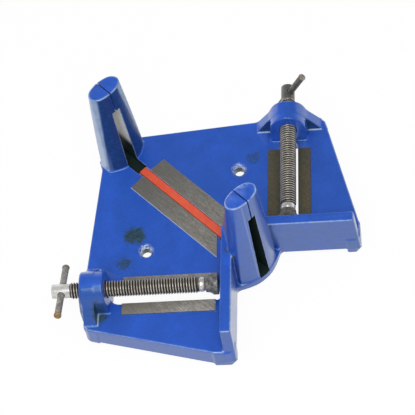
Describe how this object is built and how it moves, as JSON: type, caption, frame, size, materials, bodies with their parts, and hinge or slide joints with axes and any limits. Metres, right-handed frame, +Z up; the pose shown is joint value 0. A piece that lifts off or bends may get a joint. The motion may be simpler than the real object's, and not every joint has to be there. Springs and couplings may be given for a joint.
{
  "type": "mitre clamp",
  "caption": "Cast corner clamp with two right-angled screw jaws and slotted saw guide posts for cutting and joining mitred frames.",
  "frame": {"origin": "point where the two fence faces meet, projected on the bench face", "axes": "+Z up; +Y along the saw line towards the outer guide post; +X across it, X = 0 is the mirror plane"},
  "size_m": [0.4208, 0.317, 0.1567],
  "materials": {
    "enamel": "gloss blue enamel",
    "steel": "turned steel",
    "bar": "worn bar steel",
    "strip": "satin red-orange"
  },
  "bodies": {
    "base": {"base_casting": "enamel", "saw_strip": "strip"},
    "left_shoe": {"swivel_shoe_left": "steel"},
    "left_screw": {"clamp_screw_left": "steel"},
    "left_bar": {"tommy_bar_left": "bar", "bar_cap_left_upper": "bar", "bar_cap_left_lower": "bar"},
    "right_shoe": {"swivel_shoe_right": "steel"},
    "right_screw": {"clamp_screw_right": "steel"},
    "right_bar": {"tommy_bar_right": "bar", "bar_cap_right_upper": "bar", "bar_cap_right_lower": "bar"}
  },
  "joints": [
    {"name": "left_travel", "type": "slide", "parent": "base", "child": "left_shoe", "axis": [0.7071, -0.7071, 0], "range_m": [-0.107, 0.0035]},
    {"name": "left_turn", "type": "hinge", "parent": "left_shoe", "child": "left_screw", "pos_m": [-0.18472, 0.07766, 0.045], "axis": [0.7071, -0.7071, 0], "range_deg": [-12140, 400]},
    {"name": "left_bar_slide", "type": "slide", "parent": "left_screw", "child": "left_bar", "axis": [-0.6645, -0.6645, 0.342], "range_m": [-0.0339, 0.0339]},
    {"name": "right_travel", "type": "slide", "parent": "base", "child": "right_shoe", "axis": [-0.7071, -0.7071, 0], "range_m": [-0.107, 0.0035]},
    {"name": "right_turn", "type": "hinge", "parent": "right_shoe", "child": "right_screw", "pos_m": [0.18472, 0.07766, 0.045], "axis": [-0.7071, -0.7071, 0], "range_deg": [-12140, 400]},
    {"name": "right_bar_slide", "type": "slide", "parent": "right_screw", "child": "right_bar", "axis": [0.3589, -0.3589, 0.8616], "range_m": [-0.0289, 0.0389]}
  ],
  "couplings": [
    {"joint": "left_turn", "follows": "left_travel", "rad_per_m": 1979},
    {"joint": "right_turn", "follows": "right_travel", "rad_per_m": 1979}
  ]
}
